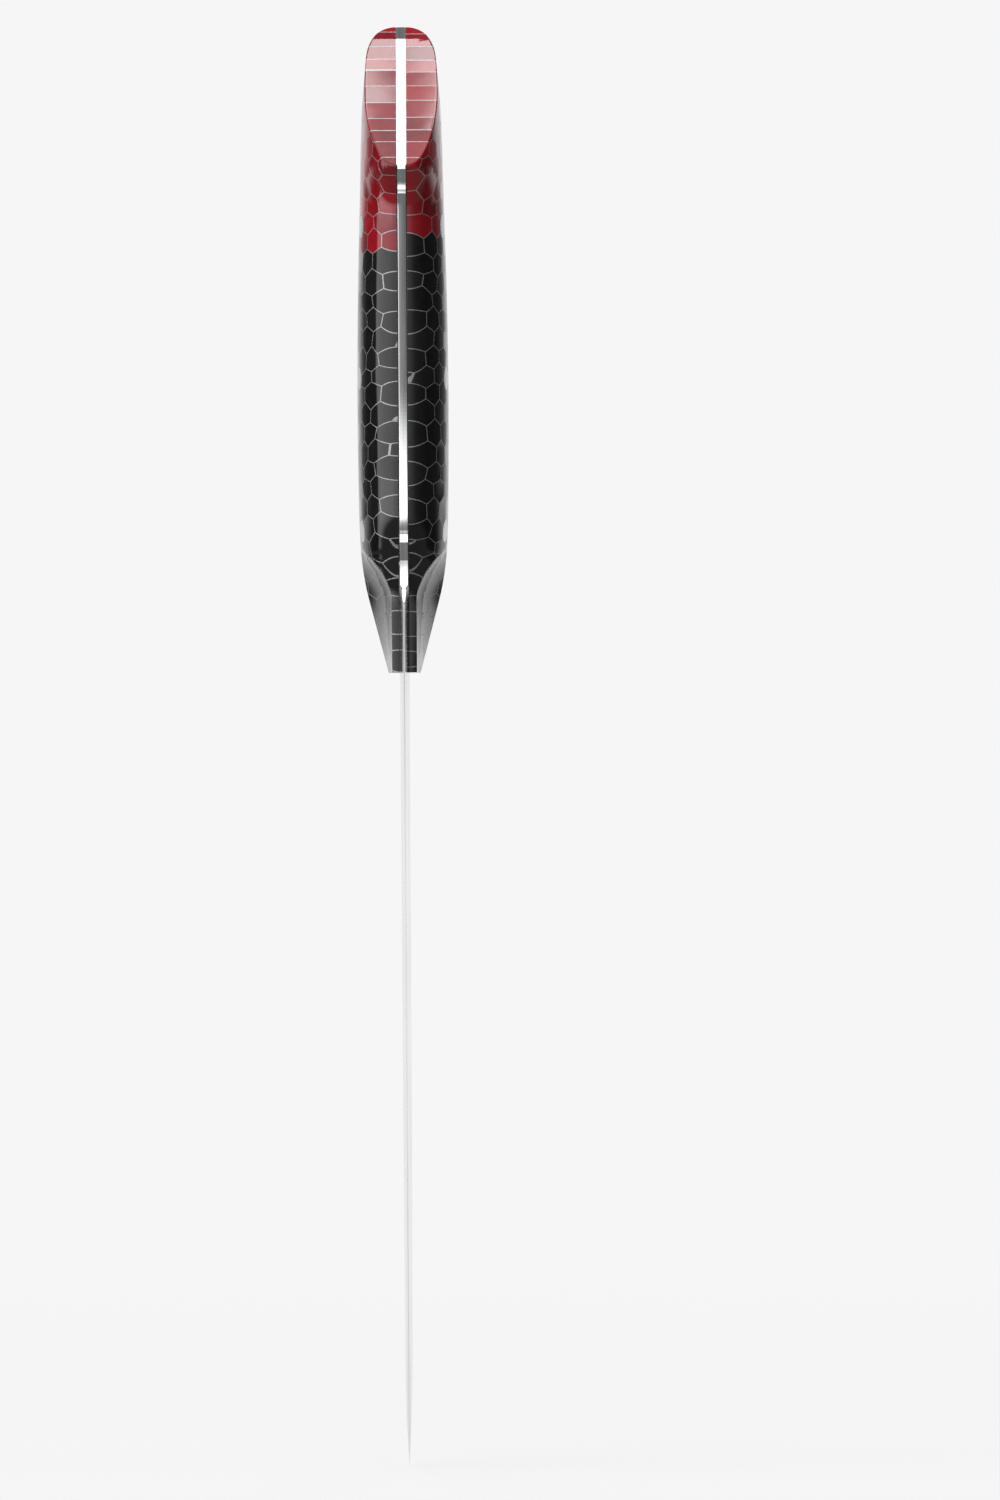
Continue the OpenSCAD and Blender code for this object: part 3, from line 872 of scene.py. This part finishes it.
rightSkin = scaleSkin()
skins = {"right": rightSkin, "left": mirrored(rightSkin)}
guides = {side: guideOf(skin) for side, skin in skins.items()}
resinLook = {"lean": 0.022, "leanFacet": 0.018, "leanNeck": 0.006, "dish": 0.018, "facetDish": 0.3}
for number, side in enumerate(("left", "right")):
    print("scale", side)
    body = cutWith(skins[side].copy(), pinHoles(holeGap), "DIFFERENCE")
    first, last = comb["rows"]
    redFrom = comb[side]["redFrom"]
    black = cutWith(body.copy(), prisms(side, first, redFrom - 1, blackResin), "INTERSECT")
    red = cutWith(body.copy(), prisms(side, redFrom, last, redResin), "INTERSECT")
    net = cutWith(body.copy(), prisms(side, first, last, foil), "DIFFERENCE")
    shadeBy(guides[side], black, dict(resinLook, seed=11 + number))
    shadeBy(guides[side], red, dict(resinLook, seed=21 + number))
    shadeBy(guides[side], net)
    dress(side + "BlackResin", black, blackResin, side + "_black_resin")
    dress(side + "RedResin", red, redResin, side + "_red_resin")
    dress(side + "Foil", net, foil, side + "_foil")


def filmMesh(side):
    low, high = places["halfSteel"], places["inner"]
    rows, points = list(np.arange(0.02, 138, 1.0)), []
    for u in rows:
        top, bottom = float(spineAt(u)) + 0.04, float(bellyAt(u)) - 0.04
        points += [toPoint(side * low, top, u), toPoint(side * high, top, u),
                   toPoint(side * high, bottom, u), toPoint(side * low, bottom, u)]
    faces = strips(len(rows), 4) + [(3, 2, 1, 0), tuple(4 * (len(rows) - 1) + k for k in range(4))]
    return cutWith(trimButt(outward(meshFrom("film", points, faces))), pinHoles(holeGap), "DIFFERENCE")


for side, sign in (("left", -1), ("right", 1)):
    dress(side + "Bond", smoothMesh(filmMesh(sign), 20), glue, side + "_bond")


pinLook = {"rings": [(0.02, 0.02), (0.6, 0.02), (1.2, 0.02), (1.8, 0.02), (2.2, 0.018), (2.38, 0.008),
                     (2.46, -0.015), (2.5, -0.05)], "sides": 72}


def pinMesh(centre):
    sides, radius = pinLook["sides"], places["pinRadius"] * mm
    points = []
    for side, sign in (("left", -1), ("right", 1)):
        rings = pinLook["rings"] if sign < 0 else list(reversed(pinLook["rings"]))
        for r, proud in rings:
            for k in range(sides):
                a = 2 * pi * k / sides
                y = centre.y + radius * r / 2.5 * cos(a)
                z = centre.z + radius * r / 2.5 * sin(a)
                hit = guides[side]["tree"].ray_cast(Vector((sign * 0.03, y, z)), Vector((-sign, 0, 0)))[0]
                points.append(Vector((hit.x + sign * proud * mm, y, z)))
    count = len(points) // sides
    faces = strips(count, sides)
    faces += [tuple(range(sides - 1, -1, -1)), tuple((count - 1) * sides + k for k in range(sides))]
    return smoothMesh(outward(meshFrom("pin", points, faces)), 40)


for name, centre in zip(("front", "middle", "rear"), pinCentres):
    dress("pin" + name.capitalize(), pinMesh(centre), pinSteel, "pin_" + name)
print("handle done")


room = {"background": 0.921, "floorDrop": 0.0006, "floorSize": 1.3, "floorSides": 96}
floorLevel = cadLow.z - room["floorDrop"]
floorPoints = [Vector((0, 0, floorLevel))]
for k in range(room["floorSides"]):
    a = 2 * pi * k / room["floorSides"]
    floorPoints.append(Vector((room["floorSize"] * cos(a), room["floorSize"] * sin(a), floorLevel)))
floorFaces = [(0, 1 + k, 1 + (k + 1) % room["floorSides"]) for k in range(room["floorSides"])]
floorMesh = meshFrom("floor", floorPoints, floorFaces)
floorPiece = newPiece("floor", floorMesh)
floorMaterial, r = newMaterial("paleFloor", (0.9, 0.9, 0.9))
where, (x, y, z) = r.place()
reach = (x * x + y * y).apply("SQRT")
grain = r.noise(where, 240, 3)
paper = r.add("ShaderNodeBsdfPrincipled", None,
              {"Base Color": r.blend(grain, (0.9, 0.9, 0.9), (0.94, 0.94, 0.94)), "Roughness": 0.8,
               "Normal": r.bump(grain, 0.05, 0.0001)})
clear = r.add("ShaderNodeBsdfTransparent")
r.end(r.add("ShaderNodeMixShader", None, {0: reach.ease(0.05, 0.6, 0.14, 0.0), 1: clear, 2: paper}))
floorMesh.materials.append(floorMaterial)
floorPiece.visible_glossy = False

box = {"height": 0.40, "half": 0.28, "near": -0.26, "far": 0.012, "power": 9.0}
corners = [(-box["half"], box["near"]), (box["half"], box["near"]), (box["half"], box["far"]),
           (-box["half"], box["far"])]
boxMesh = meshFrom("softbox", [Vector((px, py, box["height"])) for px, py in corners], [(0, 3, 2, 1)])
softbox = newPiece("softbox", boxMesh)
softMaterial, r = newMaterial("softbox", (1, 1, 1))
where, (x, y, z) = r.place()
fall = y.ease(-0.042, -0.026, 0.24, 1.0) * y.ease(-0.26, -0.2) * x.apply("ABSOLUTE").ease(0.28, 0.2)
weave = r.noise(where, 60, 1).ease(0.2, 0.8, 0.96, 1.0)
r.end(r.add("ShaderNodeEmission", None, {"Color": (1, 1, 1), "Strength": fall * weave * box["power"]}))
boxMesh.materials.append(softMaterial)
softbox.visible_camera = False
softbox.visible_shadow = False

# brightness round the knife by direction in degrees, 0 towards the camera, then by height
world = bpy.data.worlds.new("studio")
bpy.context.scene.world = world
r = Recipe(world)
sky = {   # shares of a full turn away from the camera's side, and heights in degrees
    "dim": 0.25, "farLow": 0.7, "high": 1.4,
    "far": (0.32, 0.40), "nearHorizon": (-22, -15), "farHorizon": (-0.5, 1.2),
    "glowFrom": (-16, -10), "glowTo": (4, -6), "glowSide": (0.245, 0.255), "glowMiddle": (0.5, 0.4),
    "behind": (0.36, 0.42), "behindTop": (78, 70), "before": (0.10, 0.05), "beforeTop": (78, 72),
    "highFrom": (40, 50), "brightest": 2.5,
}
around = [(-180, 0.9), (-156, 0.9), (-146, 0.2), (-132, 0.05), (-101, 0.06), (-99, 0.08), (-96, 2.2),
          (-69, 2.1), (-39, 1.9), (-18, 1.5), (0, 1.2), (24, 0.5), (39, 0.22), (54, 0.14), (69, 0.1),
          (90, 0.06), (132, 0.05), (146, 0.2), (156, 0.9), (180, 0.9)]
way = r.add("ShaderNodeTexCoord", out="Generated")
split = r.tree.nodes.new("ShaderNodeSeparateXYZ")
plug(r.tree, split.inputs[0], way)
x, y, z = (Wire(r.tree, o) for o in split.outputs)
turn = x.apply("ARCTAN2", -y) / (2 * pi) + 0.5
ramp = r.tree.nodes.new("ShaderNodeValToRGB")
plug(r.tree, ramp.inputs[0], turn)
stops = ramp.color_ramp.elements
while len(stops) > 1:
    stops.remove(stops[0])
for n, (angle, level) in enumerate(around):
    stop = stops[0] if n == 0 else stops.new((angle + 180) / 360)
    stop.position = (angle + 180) / 360
    grey = level / sky["brightest"]
    stop.color = (grey, grey, grey, 1)
ringLevel = Wire(r.tree, ramp.outputs[0]) * sky["brightest"]
height = z.apply("ARCSINE") * (180 / pi)
leftSide = turn.ease(*sky["glowSide"]) * turn.ease(*sky["glowMiddle"])
glow = height.ease(*sky["glowFrom"]) * height.ease(*sky["glowTo"]) * leftSide
aside = (turn - 0.5).apply("ABSOLUTE")
far = aside.ease(*sky["far"])
low = far * sky["farLow"] + sky["dim"]
cut = height.ease(*sky["nearHorizon"]) * (1 - far) + height.ease(*sky["farHorizon"]) * far
level = low + (ringLevel + glow - low) * cut
behind = aside.ease(*sky["behind"]) * height.ease(*sky["behindTop"])
before = aside.ease(*sky["before"]) * height.ease(*sky["beforeTop"])
high = (behind + before) * sky["high"] + sky["dim"]
level = level + (high - level) * height.ease(*sky["highFrom"])
light = r.add("ShaderNodeBackground", None, {"Color": (1, 1, 1), "Strength": level})
plain = r.add("ShaderNodeBackground", None, {"Color": (1, 1, 1), "Strength": room["background"]})
seen = r.add("ShaderNodeLightPath", out="Is Camera Ray")
r.end(r.add("ShaderNodeMixShader", None, {0: seen, 1: light, 2: plain}), "ShaderNodeOutputWorld")

view = {"away": 1.5, "lens": 171, "sensor": 36, "aside": 0.0036, "yaw": -0.625, "roll": 0.36}
camera = bpy.data.objects.new("camera", bpy.data.cameras.new("camera"))
camera.data.lens, camera.data.sensor_width = view["lens"], view["sensor"]
camera.location = (view["aside"], -view["away"], cadLow.z + 0.1498)
camera.rotation_euler = (pi / 2, radians(view["roll"]), radians(view["yaw"]))
bpy.context.scene.collection.objects.link(camera)
bpy.context.scene.camera = camera
bpy.context.scene.view_settings.view_transform = "Standard"
bpy.context.scene.view_settings.look = "None"
